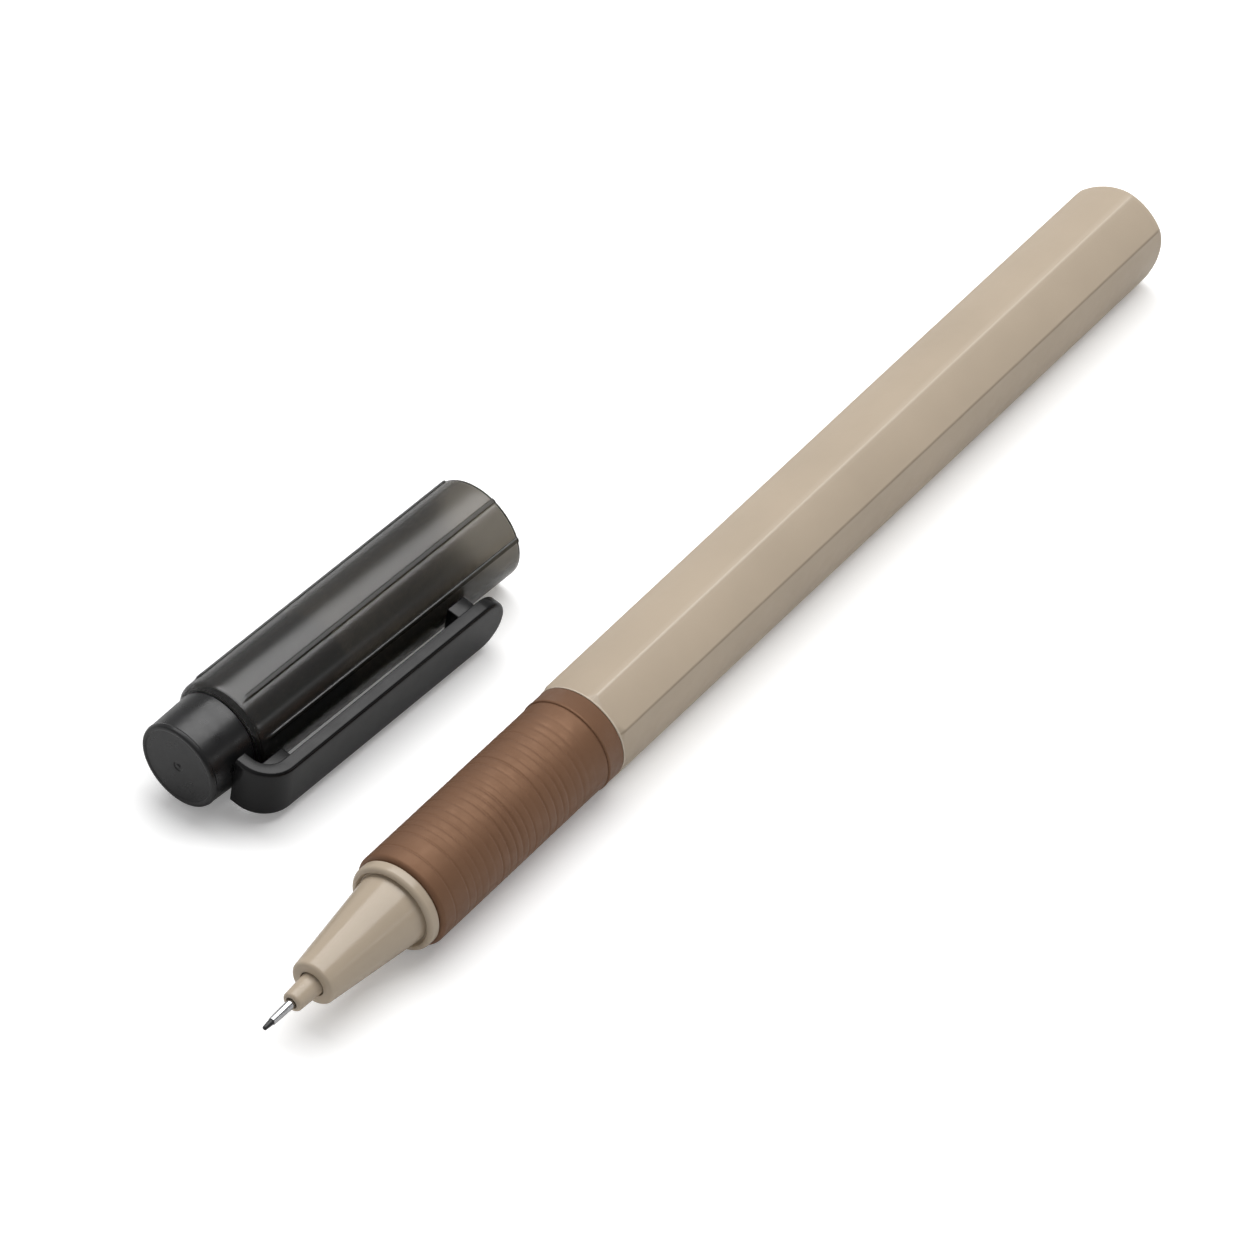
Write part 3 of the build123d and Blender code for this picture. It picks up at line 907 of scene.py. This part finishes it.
def soft_block(low, high, edge):
    """Box between two corners with rounded edges, as its own mesh object."""
    bm = bmesh.new()
    bmesh.ops.create_cube(bm, size=1.0)
    middle, size = (Vector(low) + Vector(high)) / 2, Vector(high) - Vector(low)
    for vertex in bm.verts:
        vertex.co = middle + Vector((vertex.co.x * size.x, vertex.co.y * size.y, vertex.co.z * size.z))
    bmesh.ops.bevel(bm, geom=list(bm.edges), offset=edge, segments=4, affect="EDGES", profile=0.5)
    for vertex in bm.verts:
        vertex.co = vertex.co * MM
    mesh = bpy.data.meshes.new("block")
    bm.to_mesh(mesh)
    bm.free()
    mesh.shade_smooth()
    mesh.set_sharp_from_angle(angle=math.radians(BLOCK_SHARP_ANGLE))
    block = bpy.data.objects.new("block", mesh)
    bpy.context.scene.collection.objects.link(block)
    return block


def merge(pieces):
    """Join mesh objects into the first one."""
    bm = bmesh.new()
    for piece in pieces:
        bm.from_mesh(piece.data)
    bm.to_mesh(pieces[0].data)
    bm.free()
    for piece in pieces[1:]:
        bpy.data.objects.remove(piece)


def make_clip():
    vertices, faces = clip_strip()
    piece = finish_mesh("clip", vertices, faces, sharp=40)
    weld(piece)
    pad = soft_block(*PAD_BOX, 0.16)
    gusset = soft_block(*GUSSET_BOX, 0.2)
    merge([piece, pad, gusset])
    piece.data.shade_smooth()
    piece.data.set_sharp_from_angle(angle=math.radians(BLOCK_SHARP_ANGLE))
    piece.data.transform(CAP_PLACE @ Matrix.Rotation(math.radians(CLIP_TURN), 4, "X"))
    give(piece, CLIP)
    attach(piece, "clip")
    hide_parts("cap_clip")


# ---- floor, light and camera ----


FLOOR_REACH = 3.0
CAMERA_AIM = Vector((-0.0419, -0.0051, 0.0))
CAMERA_TURN = math.radians(126.72)
CAMERA_RISE = math.radians(43.79)
CAMERA_DISTANCE = 0.7785
CAMERA_LENS = 234.1
SENSOR_WIDTH = 36
SKY_STOPS = ((0.3, 0.26), (0.5, 0.45))
SKY_PLUS_Y, SKY_MINUS_Y = 0.22, 0.42


def make_floor():
    """Pale floor; it is brighter to the camera than it is as a source of bounced light or reflections."""
    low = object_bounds()[0].z
    mesh = bpy.data.meshes.new("floor")
    corners = [(x * FLOOR_REACH, y * FLOOR_REACH, low) for x, y in ((-1, -1), (1, -1), (1, 1), (-1, 1))]
    mesh.from_pydata(corners, [], [(0, 1, 2, 3)])
    floor = bpy.data.objects.new("floor", mesh)
    bpy.context.scene.collection.objects.link(floor)
    material, tree, shader = new_material("floor_white")
    rays = tree.nodes.new("ShaderNodeLightPath")
    bounce = ramp(tree, rays.outputs["Is Glossy Ray"], (0.86, 0.86, 0.85), (0.58, 0.58, 0.58), 0.0, 1.0)
    tree.links.new(bounce, shader.inputs["Base Color"])
    blend_into(tree, shader, "Base Color", rays.outputs["Is Camera Ray"], (0.97, 0.97, 0.97, 1))
    shader.inputs["Roughness"].default_value = 0.9
    shader.inputs["Specular IOR Level"].default_value = 0.0
    shader.inputs["Emission Color"].default_value = (1, 1, 1, 1)
    glow = ramp(tree, rays.outputs["Is Camera Ray"], (0.03,) * 3, (0.2,) * 3, 0.0, 1.0)
    tree.links.new(glow, shader.inputs["Emission Strength"])
    give(floor, material)
    floor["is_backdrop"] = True


def add_area_light(name, offset, size, radiance, towards=None):
    """Rectangular light, placed from the camera's aim, that faces down or towards a point."""
    data = bpy.data.lights.new(name, "AREA")
    data.shape = "RECTANGLE"
    data.size, data.size_y = size
    data.energy = radiance * math.pi * size[0] * size[1]
    light = bpy.data.objects.new(name, data)
    light.location = CAMERA_AIM + Vector(offset)
    if towards:
        light.rotation_mode = "QUATERNION"
        light.rotation_quaternion = (towards - light.location).to_track_quat("-Z", "Z")
    bpy.context.scene.collection.objects.link(light)


def add_camera():
    data = bpy.data.cameras.new("camera")
    data.sensor_width = SENSOR_WIDTH
    data.lens = CAMERA_LENS
    data.clip_start, data.clip_end = 0.01, 10
    camera = bpy.data.objects.new("camera", data)
    back = Vector((
        math.sin(CAMERA_TURN) * math.cos(CAMERA_RISE),
        -math.cos(CAMERA_TURN) * math.cos(CAMERA_RISE),
        math.sin(CAMERA_RISE),
    ))
    camera.location = CAMERA_AIM + back * CAMERA_DISTANCE
    camera.rotation_mode = "QUATERNION"
    camera.rotation_quaternion = (-back).to_track_quat("-Z", "Y")
    bpy.context.scene.collection.objects.link(camera)
    bpy.context.scene.camera = camera


def light_scene():
    """Grey surroundings that change from +Y to -Y, an overhead softbox and a low strip at the side."""
    world = bpy.data.worlds.new("studio")
    world.use_nodes = True
    tree = world.node_tree
    direction = tree.nodes.new("ShaderNodeTexCoord")
    axes = tree.nodes.new("ShaderNodeSeparateXYZ")
    tree.links.new(direction.outputs["Generated"], axes.inputs["Vector"])
    side = node(tree, "ShaderNodeMapRange", From_Min=1.0, From_Max=-1.0)
    tree.links.new(axes.outputs["Y"], side.inputs["Value"])
    glow = tree.nodes.new("ShaderNodeValToRGB")
    stops = glow.color_ramp.elements
    stops[0].position, stops[0].color = 0.0, (*(SKY_PLUS_Y,) * 3, 1)
    stops[1].position, stops[1].color = 1.0, (*(SKY_MINUS_Y,) * 3, 1)
    for position, grey in SKY_STOPS:
        stops.new(position).color = (*(grey,) * 3, 1)
    tree.links.new(side.outputs["Result"], glow.inputs["Fac"])
    tree.links.new(glow.outputs["Color"], tree.nodes["Background"].inputs["Color"])
    bpy.context.scene.world = world
    view = bpy.context.scene.view_settings
    view.view_transform = "Standard"
    view.look = "None"
    add_area_light("softbox", (-0.31, -0.15, 0.85), (0.62, 1.22), 4.3)
    nose_side = CAMERA_AIM + Vector((0.05, 0, 0))
    add_area_light("side_strip", (-0.33, 0.9, 0.29), (0.26, 0.075), 2.5, towards=nose_side)


make_barrel()
make_grip()
make_nose()
make_nib()
finish_inner_nodes()
make_cap_tube()
make_plug()
make_inner_sleeve()
make_clip()
make_floor()
add_camera()
light_scene()
